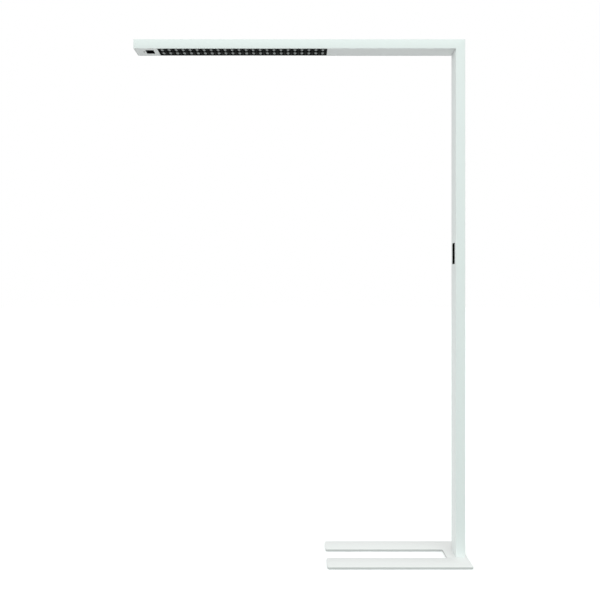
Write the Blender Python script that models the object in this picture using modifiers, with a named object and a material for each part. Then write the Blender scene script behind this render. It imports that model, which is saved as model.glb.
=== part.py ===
"""A free-standing office luminaire: a slim L of white profile on a U-shaped base.

Metres, +Z up. The origin is on the floor, under the column's axis. The arm reaches
along -X, and Y runs across the profile. The control panel is on the column's -X face.
"""

import math

import bmesh
import bpy
from mathutils import Matrix, Vector
from mathutils.geometry import interpolate_bezier

MM = 0.001
GAP = 0.3 * MM  # left between two pieces that touch

# The L of profile
HEIGHT = 1950 * MM
ARM_TIP = -1226 * MM
DEEP = 35 * MM  # along X in the column, along Z in the arm
WIDE = 58 * MM  # across Y in both
WALL = 2 * MM
LONG_EDGE = 0.6 * MM  # rounding of the profile's long edges
BACK = DEEP / 2  # the column's +X face; its -X face is at -BACK
SIDE = WIDE / 2
INNER_X = BACK - WALL
INNER_Y = SIDE - WALL
COVER_Y = INNER_Y - GAP
ARM_LOW = HEIGHT - DEEP
UNDER_LOW = ARM_LOW + 0.7 * MM  # the louvre and covers sit this much inside the profile's lower edges
TOP_WALL_LOW = HEIGHT - WALL
WEB_LOW = ARM_LOW + 21 * MM  # the web between the arm's lower and upper channels
WEB_TOP = WEB_LOW + WALL

# Base
BASE_LOW = 0.8 * MM
BASE_TOP = BASE_LOW + 8 * MM
BASE_BACK = 25.5 * MM
BASE_FRONT = -502.5 * MM
BASE_SIDE = 100 * MM
SLOT_SIDE = 33 * MM
SLOT_END = -51 * MM
BASE_CORNER = 7 * MM
SLOT_CORNER = 5 * MM
BASE_EDGE = 0.8 * MM
GLIDE_RADIUS = 8 * MM
GLIDE_TALL = 2 * MM  # most of it in a pocket in the plate
GLIDE_PLACES = [(0, 0), (8, 82), (8, -82), (-488, 66), (-488, -66)]  # millimetres

# Foot of the column
BLOCK_TALL = 30 * MM
FOOT_SCREW_Y = 19 * MM
FOOT_SCREW_RADIUS = 4 * MM
FOOT_SCREW_LONG = 32 * MM
SET_SCREW_Z = [18 * MM, 30 * MM]
SET_SCREW_RADIUS = 2.5 * MM
SET_SCREW_START = 4 * MM
SET_SCREW_SUNK = 0.4 * MM
GLAND_Z = 64 * MM
GLAND_BORE = 3.7 * MM

# Corner
BRACKET_THICK = 5 * MM
BRACKET_SIDE = 20 * MM
BRACKET_REACH = -58 * MM
BRACKET_FOOT = 1870 * MM
BRACKET_SCREW_X = -40 * MM
BRACKET_SCREW_Y = 14 * MM
BRACKET_SCREW_LONG = 8.5 * MM
COLUMN_SCREW_Z = 1885 * MM
COLUMN_SCREW_Y = 12 * MM
COLUMN_SCREW_LONG = 10 * MM
COLUMN_SCREW_SUNK = 0.1 * MM
CORNER_SCREW_RADIUS = 2 * MM

# Lighting head, along the arm
LOUVRE_START = -1138.2 * MM
LOUVRE_END = -499.2 * MM
LOUVRE_TALL = 14 * MM
LOUVRE_FLOOR = 5 * MM
LOUVRE_SKIRT = 1.5 * MM
CELLS_LONG = 24
CELLS_WIDE = 2
CELL_PITCH = 26.4 * MM
CELL_MOUTH = 24.6 * MM
CELL_THROAT = (11.2 * MM, 19.6 * MM)  # along X and Y
CELL_DEEP = 2 * MM
LENS_PLATE = 2 * MM
LENS_EXIT = (5.2 * MM, 9.4 * MM)  # half axes of a lens where its light leaves, in the cell's throat
LENS_ENTRY = 0.5  # its other end's share of that
LENS_SUNK = MM
LED_BOARD_SIDE = 22 * MM
LED_BOARD_INSET = 3.8 * MM
UPLIGHT_START = -1130 * MM
UPLIGHT_END = -150 * MM
UPLIGHT_SIDE = 19 * MM
DRIVER_START = -460 * MM
DRIVER_END = -100 * MM
DRIVER_SIDE = 15 * MM
DRIVER_TAB = 10 * MM
SENSOR_X = -1170.7 * MM
WINDOW_SIZE = (30.6 * MM, 27 * MM)
PHOTOCELL_X = -1193.6 * MM
PHOTOCELL_RADIUS = 3 * MM

# Control panel
PANEL_Z = 1149.2 * MM
PANEL_SIZE = (26 * MM, 79.5 * MM)  # along Y and Z
PANEL_BODY = (22 * MM, 74 * MM)
PANEL_FRONT = -BACK - 1.1 * MM
PANEL_REAR = -12 * MM
BUTTON_SIZE = (18 * MM, 19 * MM)
BUTTON_PITCH = 22 * MM
BUTTON_NAMES = ["button_down", "button_auto", "button_up"]
BUTTON_PROUD = 0.4 * MM
BOARD_THICK = 1.6 * MM
PANEL_BOARD_X = -2 * MM  # its front face
POST_PLACES = [(7 * MM, 34.8 * MM), (-7 * MM, -34.8 * MM), (-7 * MM, 34.8 * MM), (7 * MM, -34.8 * MM)]

# Finishes: colour, roughness, metallic
FINISHES = {
    "white_coat": ((0.86, 0.89, 0.88), 0.42, 0.0),
    "white_steel": ((0.87, 0.88, 0.88), 0.45, 0.0),
    "black_gloss": ((0.012, 0.013, 0.013), 0.12, 0.0),
    "black_plastic": ((0.02, 0.02, 0.021), 0.38, 0.0),
    "smoked_window": ((0.005, 0.005, 0.006), 0.08, 0.0),
    "opal": ((0.93, 0.94, 0.93), 0.5, 0.0),
    "clear_lens": ((0.9, 0.92, 0.92), 0.06, 0.0),
    "white_board": ((0.84, 0.85, 0.83), 0.45, 0.0),
    "green_board": ((0.03, 0.16, 0.07), 0.4, 0.0),
    "steel": ((0.56, 0.57, 0.58), 0.3, 1.0),
    "zinc": ((0.66, 0.67, 0.68), 0.36, 1.0),
    "grey_plastic": ((0.45, 0.46, 0.47), 0.45, 0.0),
    "white_jacket": ((0.8, 0.8, 0.79), 0.55, 0.0),
    "grey_jacket": ((0.28, 0.29, 0.3), 0.55, 0.0),
    "rubber": ((0.05, 0.05, 0.05), 0.8, 0.0),
}


# ---------------------------------------------------------------- scene and helpers


def clear_scene():
    """Removes every object of the startup scene."""
    for obj in list(bpy.data.objects):
        bpy.data.objects.remove(obj, do_unlink=True)


def collection(name):
    made = bpy.data.collections.new(name)
    bpy.context.scene.collection.children.link(made)
    return made


def material(name, finish):
    """The Principled material of one piece, from the table of finishes."""
    color, roughness, metallic = FINISHES[finish]
    made = bpy.data.materials.new(name)
    made.use_nodes = True
    shader = made.node_tree.nodes["Principled BSDF"]
    shader.inputs["Base Color"].default_value = (*color, 1.0)
    shader.inputs["Roughness"].default_value = roughness
    shader.inputs["Metallic"].default_value = metallic
    made.diffuse_color = (*color, 1.0)
    return made


def add(name, bm, finish, location=(0, 0, 0)):
    """Makes a piece from a bmesh, or a hidden cutter where finish is None."""
    mesh = bpy.data.meshes.new(name)
    bm.to_mesh(mesh)
    bm.free()
    obj = bpy.data.objects.new(name, mesh)
    obj.location = location
    if finish is None:
        CUTTERS.objects.link(obj)
        obj.hide_render = True
        obj.display_type = "WIRE"
    else:
        PIECES.objects.link(obj)
        mesh.materials.append(material(name, finish))
    return obj


def aim(obj, direction):
    """Turns a piece that was made along +Z to point along direction."""
    obj.rotation_mode = "QUATERNION"
    obj.rotation_quaternion = Vector((0, 0, 1)).rotation_difference(Vector(direction))


def round_edges(obj, width, segments=2):
    bevel = obj.modifiers.new("round edges", "BEVEL")
    bevel.width = width
    bevel.segments = segments
    bevel.limit_method = "ANGLE"


def subtract(obj, *cutters):
    for cutter in cutters:
        boolean = obj.modifiers.new(f"cut {cutter.name}", "BOOLEAN")
        boolean.operation = "DIFFERENCE"
        boolean.solver = "EXACT"
        boolean.object = cutter


def unite(obj, *others):
    for other in others:
        boolean = obj.modifiers.new(f"join {other.name}", "BOOLEAN")
        boolean.operation = "UNION"
        boolean.solver = "EXACT"
        boolean.object = other


def box(name, low, high, finish=None, edge=0.0):
    """A box between two corners. Without a finish it is a cutter or a helper."""
    low, high = Vector(low), Vector(high)
    bm = bmesh.new()
    bmesh.ops.create_cube(bm, size=1.0)
    bmesh.ops.scale(bm, vec=high - low, verts=bm.verts)
    obj = add(name, bm, finish, (low + high) / 2)
    if edge:
        round_edges(obj, edge)
    return obj


def slab(name, x, y, z, finish=None, edge=0.0):
    """A box from its three (low, high) ranges."""
    return box(name, (x[0], y[0], z[0]), (x[1], y[1], z[1]), finish, edge)


def both(half):
    """The range that runs the same way to each side of zero."""
    return -half, half


def around(middle, half):
    return middle - half, middle + half


def cylinder(name, start, end, radius, finish=None, sides=20):
    start, end = Vector(start), Vector(end)
    bm = bmesh.new()
    bmesh.ops.create_cone(
        bm, cap_ends=True, segments=sides, radius1=radius, radius2=radius, depth=(end - start).length
    )
    obj = add(name, bm, finish, (start + end) / 2)
    aim(obj, end - start)
    obj.data.set_sharp_from_angle(angle=math.radians(40))
    return obj


def turned(name, outline, place, toward, finish=None, ring=False, steps=16):
    """A turned piece. The outline runs down its outer side from the top; toward is its top."""
    bm = bmesh.new()
    corners = [bm.verts.new((radius, 0, height)) for radius, height in outline]
    for first, second in zip(corners, corners[1:]):
        bm.edges.new((first, second))
    if ring:
        bm.edges.new((corners[-1], corners[0]))
    obj = add(name, bm, finish, place)
    aim(obj, toward)
    screw = obj.modifiers.new("turn", "SCREW")
    screw.axis = "Z"
    screw.steps = steps
    screw.render_steps = steps
    screw.use_merge_vertices = True
    screw.merge_threshold = 1e-6
    return obj


def countersunk_outline(radius, length, grow=0.0):
    """Half section of a countersunk screw, its head's face at height 0."""
    head = 2 * radius
    rim = 0.1 * radius
    return [
        (0, 0),
        (head + grow, 0),
        (head + grow, -rim),
        (radius + grow, -rim - head + radius),
        (radius + grow, -length + 0.2 * radius),
        (0.8 * radius + grow, -length),
        (0, -length),
    ]


def sunk_hole_outline(radius, length):
    """The half section of the hole for a countersunk screw, open over its head."""
    outline = countersunk_outline(radius, length, GAP)
    over = 2 * MM
    return [(0, over), (outline[1][0], over), *outline[1:]]


def pan_outline(radius, length):
    """Half section of a pan-head screw, the underside of its head at height 0."""
    head = 1.75 * radius
    tall = 1.1 * radius
    return [
        (0, tall),
        (0.75 * head, tall),
        (head, 0.6 * tall),
        (head, 0),
        (radius, 0),
        (radius, -length + 0.2 * radius),
        (0.8 * radius, -length),
        (0, -length),
    ]


def socket(name, place, toward, across, depth, rise=MM):
    """A hexagonal cutter for a socket head; it stands `rise` out of the face."""
    toward = Vector(toward)
    return cylinder(
        name, Vector(place) - toward * depth, Vector(place) + toward * rise, across / math.sqrt(3), sides=6
    )


def countersunk_screw(name, place, toward, radius, length, finish):
    """A countersunk socket screw whose head's face is at place and looks toward."""
    screw = turned(name, countersunk_outline(radius, length), place, toward, finish)
    subtract(screw, socket(f"{name}_socket", place, toward, 1.2 * radius, 0.9 * radius))
    return screw


def pan_screw(name, place, toward, radius, length, finish):
    """A pan-head socket screw; place is under its head, which looks toward."""
    screw = turned(name, pan_outline(radius, length), place, toward, finish)
    top = Vector(place) + Vector(toward) * 1.1 * radius
    subtract(screw, socket(f"{name}_socket", top, toward, 1.25 * radius, 0.7 * radius))
    return screw


def round_corner(corner, before, after, radius, steps=8):
    """Points of the arc that rounds a square corner of an outline."""
    back = (before - corner).normalized()
    on = (after - corner).normalized()
    centre = corner + (back + on) * radius
    turns = [math.pi / 2 * i / steps for i in range(steps + 1)]
    return [centre - on * radius * math.cos(t) - back * radius * math.sin(t) for t in turns]


def flat_plate(name, corners, low, high, finish, edge):
    """A flat plate from (x, y, corner radius) corners, extruded between two heights."""
    points = [Vector((x, y)) for x, y, _ in corners]
    outline = []
    for i, (_, _, radius) in enumerate(corners):
        outline += round_corner(points[i], points[i - 1], points[(i + 1) % len(points)], radius)
    curve = bpy.data.curves.new(name, "CURVE")
    curve.dimensions = "2D"
    curve.fill_mode = "BOTH"
    curve.extrude = (high - low) / 2
    spline = curve.splines.new("POLY")
    spline.points.add(len(outline) - 1)
    for point, place in zip(spline.points, outline):
        point.co = (place.x, place.y, 0, 1)
    spline.use_cyclic_u = True
    flat = bpy.data.objects.new(f"{name}_outline", curve)
    flat.location.z = (low + high) / 2
    PIECES.objects.link(flat)
    bpy.context.view_layer.update()
    graph = bpy.context.evaluated_depsgraph_get()
    mesh = bpy.data.meshes.new_from_object(flat.evaluated_get(graph))
    bm = bmesh.new()
    bm.from_mesh(mesh)
    bmesh.ops.remove_doubles(bm, verts=bm.verts, dist=1e-6)
    bmesh.ops.recalc_face_normals(bm, faces=bm.faces)
    obj = add(name, bm, finish)
    obj.matrix_world = flat.matrix_world
    bpy.data.meshes.remove(mesh)
    bpy.data.objects.remove(flat, do_unlink=True)
    round_edges(obj, edge)
    return obj


def lead(name, route, radius, finish, steps=3):
    """An insulated lead along one smooth curve through its route, given in millimetres."""
    points = [Vector(point) * MM for point in route]
    ways = [(after - before).normalized() for before, after in
            zip(points[:1] + points[:-1], points[1:] + points[-1:])]
    smooth = points[:1]
    for i in range(len(points) - 1):
        start, end = points[i], points[i + 1]
        reach = (end - start).length / 3
        smooth += interpolate_bezier(
            start, start + ways[i] * reach, end - ways[i + 1] * reach, end, steps + 1
        )[1:]
    curve = bpy.data.curves.new(name, "CURVE")
    curve.dimensions = "3D"
    curve.bevel_depth = radius
    curve.bevel_resolution = 2
    curve.use_fill_caps = True
    spline = curve.splines.new("POLY")
    spline.points.add(len(smooth) - 1)
    for point, place in zip(spline.points, smooth):
        point.co = (*place, 1)
    curve.materials.append(material(name, finish))
    obj = bpy.data.objects.new(name, curve)
    PIECES.objects.link(obj)
    return obj


# ---------------------------------------------------------------- base and foot


def make_base():
    """The U-shaped plate, with countersunk holes for the screws that hold the column."""
    plate = flat_plate(
        "base_plate",
        [
            (BASE_BACK, -BASE_SIDE, BASE_CORNER),
            (BASE_BACK, BASE_SIDE, BASE_CORNER),
            (BASE_FRONT, BASE_SIDE, BASE_CORNER),
            (BASE_FRONT, SLOT_SIDE, BASE_CORNER),
            (SLOT_END, SLOT_SIDE, SLOT_CORNER),
            (SLOT_END, -SLOT_SIDE, SLOT_CORNER),
            (BASE_FRONT, -SLOT_SIDE, BASE_CORNER),
            (BASE_FRONT, -BASE_SIDE, BASE_CORNER),
        ],
        BASE_LOW,
        BASE_TOP,
        "white_steel",
        BASE_EDGE,
    )
    for name, y in (("near", -FOOT_SCREW_Y), ("far", FOOT_SCREW_Y)):
        head = (0, y, BASE_LOW)
        outline = sunk_hole_outline(FOOT_SCREW_RADIUS, FOOT_SCREW_LONG)
        subtract(plate, turned(f"foot_hole_{name}", outline, head, (0, 0, -1)))
        countersunk_screw(
            f"foot_screw_{name}", head, (0, 0, -1), FOOT_SCREW_RADIUS, FOOT_SCREW_LONG, "zinc"
        )
    for number, (x, y) in enumerate(GLIDE_PLACES, start=1):
        start = (x * MM, y * MM, BASE_LOW - MM)
        end = (x * MM, y * MM, GLIDE_TALL + GAP)
        subtract(plate, cylinder(f"glide_pocket_{number}", start, end, GLIDE_RADIUS + GAP, sides=28))


def make_glides():
    """Round pads in pockets under the plate; the middle one carries the column."""
    rim = 0.5 * MM
    for number, (x, y) in enumerate(GLIDE_PLACES, start=1):
        turned(
            f"floor_glide_{number}",
            [
                (0, GLIDE_TALL),
                (GLIDE_RADIUS, GLIDE_TALL),
                (GLIDE_RADIUS, rim),
                (GLIDE_RADIUS - rim, 0),
                (0, 0),
            ],
            (x * MM, y * MM, 0),
            (0, 0, 1),
            "rubber",
            steps=28,
        )


def make_foot_block():
    """The steel block inside the column's foot, which the plate's screws pull down on."""
    low = BASE_TOP + GAP
    block = slab(
        "foot_block", both(INNER_X - GAP), both(INNER_Y - GAP), (low, low + BLOCK_TALL), "zinc", 0.6 * MM
    )
    for name, y in (("near", -FOOT_SCREW_Y), ("far", FOOT_SCREW_Y)):
        start, end = (0, y, low - MM), (0, y, low + BLOCK_TALL + MM)
        subtract(block, cylinder(f"block_hole_{name}", start, end, FOOT_SCREW_RADIUS + GAP))
    for name, z in zip(("lower", "upper"), SET_SCREW_Z):
        start, end = (SET_SCREW_START - MM, 0, z), (BACK + MM, 0, z)
        subtract(block, cylinder(f"block_tap_{name}", start, end, SET_SCREW_RADIUS + GAP))
        start, end = (SET_SCREW_START, 0, z), (BACK - SET_SCREW_SUNK, 0, z)
        screw = cylinder(f"column_set_screw_{name}", start, end, SET_SCREW_RADIUS, "zinc")
        key = socket(f"set_screw_socket_{name}", end, (1, 0, 0), SET_SCREW_RADIUS, SET_SCREW_RADIUS)
        subtract(screw, key)


def make_gland():
    """The bush that the mains cord passes through, and the nut behind the wall."""
    face = BACK + GAP
    turned(
        "cord_gland",
        [
            (5 * MM, 7 * MM),
            (6.4 * MM, 5.6 * MM),
            (7.6 * MM, 2.2 * MM),
            (8 * MM, 1.6 * MM),
            (8 * MM, 0),
            (6 * MM, 0),
            (6 * MM, -11 * MM),
            (GLAND_BORE, -11 * MM),
            (GLAND_BORE, 6.4 * MM),
            (4.3 * MM, 7 * MM),
        ],
        (face, 0, GLAND_Z),
        (1, 0, 0),
        "black_plastic",
        ring=True,
        steps=24,
    )
    nut_front = INNER_X - GAP
    nut_ends = (nut_front - 4 * MM, 0, GLAND_Z), (nut_front, 0, GLAND_Z)
    nut = cylinder("gland_nut", *nut_ends, 9.4 * MM, "black_plastic", 6)
    bore_start, bore_end = (nut_front - 6 * MM, 0, GLAND_Z), (nut_front + 2 * MM, 0, GLAND_Z)
    subtract(nut, cylinder("gland_nut_bore", bore_start, bore_end, 6 * MM + GAP, sides=24))


# ---------------------------------------------------------------- the L of profile


def profile_bar(name, low, high, along, mitre):
    """A solid bar with rounded long edges, cut square except at the mitred corner."""
    low, high = Vector(low), Vector(high)
    bm = bmesh.new()
    bmesh.ops.create_cube(bm, size=1.0)
    bmesh.ops.scale(bm, vec=high - low, verts=bm.verts)
    long_edges = [
        edge for edge in bm.edges if abs((edge.verts[0].co - edge.verts[1].co).normalized()[along]) > 0.9
    ]
    bmesh.ops.bevel(
        bm, geom=long_edges, offset=LONG_EDGE, segments=3, affect="EDGES", profile=0.5, material=-1
    )
    middle = (low + high) / 2
    normal = Vector(mitre).normalized()
    corner = Vector((0, 0, HEIGHT - DEEP / 2)) - normal * GAP / 2
    cut = bmesh.ops.bisect_plane(
        bm,
        geom=bm.verts[:] + bm.edges[:] + bm.faces[:],
        plane_co=corner - middle,
        plane_no=normal,
        clear_outer=True,
    )
    rim = [item for item in cut["geom_cut"] if isinstance(item, bmesh.types.BMEdge)]
    bmesh.ops.edgeloop_fill(bm, edges=rim)
    bmesh.ops.recalc_face_normals(bm, faces=bm.faces)
    return add(name, bm, "white_coat", middle)


def make_column():
    """The upright: a box section, open at its foot and mitred at its head."""
    column = profile_bar(
        "column_profile", (-BACK, -SIDE, BASE_TOP + GAP), (BACK, SIDE, HEIGHT), 2, (-1, 0, 1)
    )
    half_y, half_z = PANEL_BODY[0] / 2 + GAP, PANEL_BODY[1] / 2 + GAP
    subtract(
        column,
        slab("column_bore", both(INNER_X), both(INNER_Y), (0, HEIGHT + DEEP)),
        slab("panel_opening", (-BACK - MM, -INNER_X + MM), both(half_y), around(PANEL_Z, half_z)),
        cylinder("gland_hole", (INNER_X - MM, 0, GLAND_Z), (BACK + MM, 0, GLAND_Z), 6 * MM + GAP, sides=24),
    )
    for name, z in zip(("lower", "upper"), SET_SCREW_Z):
        hole = cylinder(f"set_hole_{name}", (INNER_X - MM, 0, z), (BACK + MM, 0, z), 2.5 * MM + GAP)
        subtract(column, hole)
    return column


def make_arm():
    """The arm: side walls, a web, and a top wall with a long window for the uplight."""
    arm = profile_bar(
        "arm_profile", (ARM_TIP + 2 * MM + GAP, -SIDE, ARM_LOW), (BACK, SIDE, HEIGHT), 0, (1, 0, -1)
    )
    past = (ARM_TIP - DEEP, BACK + DEEP)
    subtract(
        arm,
        slab("lower_channel", past, both(INNER_Y), (ARM_LOW - DEEP, WEB_LOW)),
        slab("upper_channel", past, both(INNER_Y), (WEB_TOP, TOP_WALL_LOW)),
        slab(
            "uplight_window",
            (UPLIGHT_START, UPLIGHT_END),
            both(UPLIGHT_SIDE),
            (TOP_WALL_LOW - MM, HEIGHT + MM),
        ),
    )
    web_holes = {
        "sensor_lead": (-1155 * MM, 15 * MM, 4 * MM),
        "sensor_return": (-486 * MM, 15 * MM, 5 * MM),
        "uplight_lead": (-475 * MM, -8 * MM, 3 * MM),
        "driver_screw_out": (DRIVER_START - DRIVER_TAB / 2, 0, 1.5 * MM + GAP),
        "driver_screw_in": (DRIVER_END + DRIVER_TAB / 2, 0, 1.5 * MM + GAP),
        "bracket_screw_near": (BRACKET_SCREW_X, -BRACKET_SCREW_Y, 2 * MM + GAP),
        "bracket_screw_far": (BRACKET_SCREW_X, BRACKET_SCREW_Y, 2 * MM + GAP),
    }
    for name, (x, y, radius) in web_holes.items():
        start, end = (x, y, WEB_LOW - MM), (x, y, WEB_TOP + MM)
        subtract(arm, cylinder(f"web_hole_{name}", start, end, radius, sides=16))
    return arm


def make_end_cap():
    """The plate that closes the arm's tip, on a spigot in the upper channel."""
    face = (ARM_TIP, ARM_TIP + 2 * MM)
    cap = slab("arm_end_cap", face, both(SIDE), (ARM_LOW, HEIGHT), "white_coat", 0.6 * MM)
    spigot = slab(
        "end_cap_spigot",
        (ARM_TIP + MM, ARM_TIP + 12 * MM),
        both(INNER_Y - GAP),
        (WEB_TOP + GAP, TOP_WALL_LOW - GAP),
    )
    unite(cap, spigot)


def make_corner_bracket(column):
    """The angle that joins the arm to the column inside the mitre, with its screws."""
    top = WEB_LOW - GAP
    back = INNER_X - GAP
    low = top - BRACKET_THICK
    bracket = slab(
        "corner_bracket", (BRACKET_REACH, back), both(BRACKET_SIDE), (low, top), "zinc"
    )
    leg = (back - BRACKET_THICK, back)
    unite(bracket, slab("bracket_leg", leg, both(BRACKET_SIDE), (BRACKET_FOOT, top - MM)))
    for name, side in (("near", -1), ("far", 1)):
        y = side * BRACKET_SCREW_Y
        start, end = (BRACKET_SCREW_X, y, low - MM), (BRACKET_SCREW_X, y, top + MM)
        hole = cylinder(f"bracket_hole_{name}", start, end, CORNER_SCREW_RADIUS + GAP, sides=16)
        subtract(bracket, hole)
        seat = (BRACKET_SCREW_X, y, low - GAP)
        pan_screw(
            f"arm_bracket_screw_{name}", seat, (0, 0, -1), CORNER_SCREW_RADIUS, BRACKET_SCREW_LONG, "zinc"
        )
        head = (BACK - COLUMN_SCREW_SUNK, side * COLUMN_SCREW_Y, COLUMN_SCREW_Z)
        outline = sunk_hole_outline(CORNER_SCREW_RADIUS, COLUMN_SCREW_LONG + 2 * MM)
        hole = turned(f"column_screw_hole_{name}", outline, head, (1, 0, 0))
        subtract(column, hole)
        subtract(bracket, hole)
        countersunk_screw(
            f"column_bracket_screw_{name}", head, (1, 0, 0), CORNER_SCREW_RADIUS, COLUMN_SCREW_LONG, "steel"
        )


# ---------------------------------------------------------------- lighting head


def spread_cells(obj):
    """Repeats a shape at the first cell over the louvre's whole grid."""
    for count, offset in ((CELLS_LONG, (CELL_PITCH, 0, 0)), (CELLS_WIDE, (0, CELL_PITCH, 0))):
        row = obj.modifiers.new("row", "ARRAY")
        row.count = count
        row.use_relative_offset = False
        row.use_constant_offset = True
        row.constant_offset_displace = offset


def first_cell(z):
    """The place of the first cell's axis at a height."""
    x = (LOUVRE_START + LOUVRE_END - (CELLS_LONG - 1) * CELL_PITCH) / 2
    return (x, -(CELLS_WIDE - 1) * CELL_PITCH / 2, z)


def make_louvre():
    """A black tray whose floor is a grid of shallow funnels, each with an oblong throat."""
    low = UNDER_LOW
    high = ARM_LOW + LOUVRE_TALL
    x, y = (LOUVRE_START + GAP, LOUVRE_END - GAP), both(COVER_Y)
    louvre = slab("louvre", x, y, (low, high), "black_gloss")
    inside = (x[0] + LOUVRE_SKIRT, x[1] - LOUVRE_SKIRT)
    subtract(
        louvre,
        slab("louvre_tray", inside, both(COVER_Y - LOUVRE_SKIRT), (low + LOUVRE_FLOOR, high + MM)),
    )
    over = GAP / CELL_DEEP
    mouth = [CELL_MOUTH + over * (CELL_MOUTH - throat) for throat in CELL_THROAT]
    bm = bmesh.new()
    rings = []
    for (x_size, y_size), z in ((mouth, -GAP), (CELL_THROAT, CELL_DEEP), (CELL_THROAT, LOUVRE_FLOOR + MM)):
        corners = ((-x_size, -y_size), (x_size, -y_size), (x_size, y_size), (-x_size, y_size))
        rings.append([bm.verts.new((x / 2, y / 2, z)) for x, y in corners])
    for lower, upper in zip(rings, rings[1:]):
        for i in range(4):
            bm.faces.new((lower[i], lower[i - 3], upper[i - 3], upper[i]))
    bm.faces.new(rings[0][::-1])
    bm.faces.new(rings[-1])
    bmesh.ops.recalc_face_normals(bm, faces=bm.faces)
    cells = add("louvre_cells", bm, None, first_cell(low))
    spread_cells(cells)
    subtract(louvre, cells)


def make_direct_light():
    """The plate of lenses that reach down into the cells, and the two LED boards under the web."""
    low = ARM_LOW + LOUVRE_TALL + GAP
    plate = slab(
        "lens_plate",
        (LOUVRE_START + MM, LOUVRE_END - MM),
        both(INNER_Y - MM),
        (low, low + LENS_PLATE),
        "clear_lens",
    )
    exit_z = UNDER_LOW + LENS_SUNK
    tall = low + MM - exit_z
    bm = bmesh.new()
    bmesh.ops.create_cone(
        bm,
        cap_ends=True,
        segments=16,
        radius1=1,
        radius2=LENS_ENTRY,
        depth=tall,
        matrix=Matrix.Translation((0, 0, tall / 2)) @ Matrix.Diagonal((*LENS_EXIT, 1, 1)),
    )
    lenses = add("lenses", bm, None, first_cell(exit_z))
    spread_cells(lenses)
    unite(plate, lenses)
    middle = (LOUVRE_START + LOUVRE_END) / 2
    top = WEB_LOW - GAP
    for name, x in (
        ("direct_led_board_tip", (LOUVRE_START + LED_BOARD_INSET, middle - MM)),
        ("direct_led_board_inner", (middle + MM, LOUVRE_END - LED_BOARD_INSET)),
    ):
        slab(name, x, both(LED_BOARD_SIDE), (top - BOARD_THICK, top), "white_board")


def make_uplight():
    """Three LED boards on the web, under an opal cover that is flush with the arm's top."""
    joint = 10 * MM
    length = (UPLIGHT_END - UPLIGHT_START - 2 * joint) / 3
    low = WEB_TOP + GAP
    for number in range(3):
        start = UPLIGHT_START + number * (length + joint)
        x = (start, start + length)
        slab(f"uplight_led_board_{number + 1}", x, both(10 * MM), (low, low + BOARD_THICK), "white_board")
    lip = 3 * MM
    cover = slab(
        "uplight_cover",
        (UPLIGHT_START - lip, UPLIGHT_END + lip),
        both(UPLIGHT_SIDE + lip),
        (TOP_WALL_LOW - GAP - 1.6 * MM, TOP_WALL_LOW - GAP),
        "opal",
    )
    pane = slab(
        "uplight_pane",
        (UPLIGHT_START + GAP, UPLIGHT_END - GAP),
        both(UPLIGHT_SIDE - GAP),
        (TOP_WALL_LOW - MM, HEIGHT - 0.2 * MM),
    )
    unite(cover, pane)


def make_driver():
    """The LED driver, screwed under the web between the louvre and the column."""
    top = WEB_LOW - GAP
    driver = slab(
        "led_driver", (DRIVER_START, DRIVER_END), both(DRIVER_SIDE), (top - 16 * MM, top), "grey_plastic"
    )
    tabs = slab(
        "driver_tabs",
        (DRIVER_START - DRIVER_TAB, DRIVER_END + DRIVER_TAB),
        both(DRIVER_SIDE - 2 * MM),
        (top - 2 * MM, top - 0.5 * MM),
    )
    unite(driver, tabs)
    places = (("out", DRIVER_START - DRIVER_TAB / 2), ("in", DRIVER_END + DRIVER_TAB / 2))
    for name, x in places:
        start, end = (x, 0, top - 4 * MM), (x, 0, top + MM)
        hole = cylinder(f"driver_hole_{name}", start, end, 1.5 * MM + GAP, sides=16)
        subtract(driver, hole)
        head = (x, 0, top - 2 * MM - GAP)
        pan_screw(f"driver_screw_{name}", head, (0, 0, -1), 1.5 * MM, 4.4 * MM, "zinc")


def make_terminal_block():
    """Where the mains lead ends: a plastic block with three screw wells."""
    x, y = (-86 * MM, -62 * MM), (-15 * MM, 3 * MM)
    top = WEB_LOW - GAP
    block = slab("terminal_block", x, y, (top - 14 * MM, top), "white_jacket", 0.5 * MM)
    for pole in range(3):
        well_y = y[0] + (pole + 0.5) * (y[1] - y[0]) / 3
        start, end = (-74 * MM, well_y, top - 15 * MM), (-74 * MM, well_y, top - 8 * MM)
        subtract(block, cylinder(f"terminal_well_{pole + 1}", start, end, 1.9 * MM, sides=12))


def cover_channel(name, start, end, leg_inset):
    """A cover of the arm's underside: a flat strip with a leg along each side."""
    cover = slab(name, (start, end), both(COVER_Y), (UNDER_LOW, UNDER_LOW + WALL), "white_coat")
    leg = 1.2 * MM
    for side, y in (("near", (-COVER_Y, -COVER_Y + leg)), ("far", (COVER_Y - leg, COVER_Y))):
        x = (start + leg_inset, end - leg_inset)
        unite(cover, slab(f"{name}_leg_{side}", x, y, (UNDER_LOW + MM, ARM_LOW + 8 * MM)))
    return cover


def make_bottom_cover():
    """The plain cover of the driver bay, between the louvre and the column."""
    cover_channel("arm_bottom_cover", LOUVRE_END + GAP, -BACK - GAP, 2 * MM)


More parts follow.
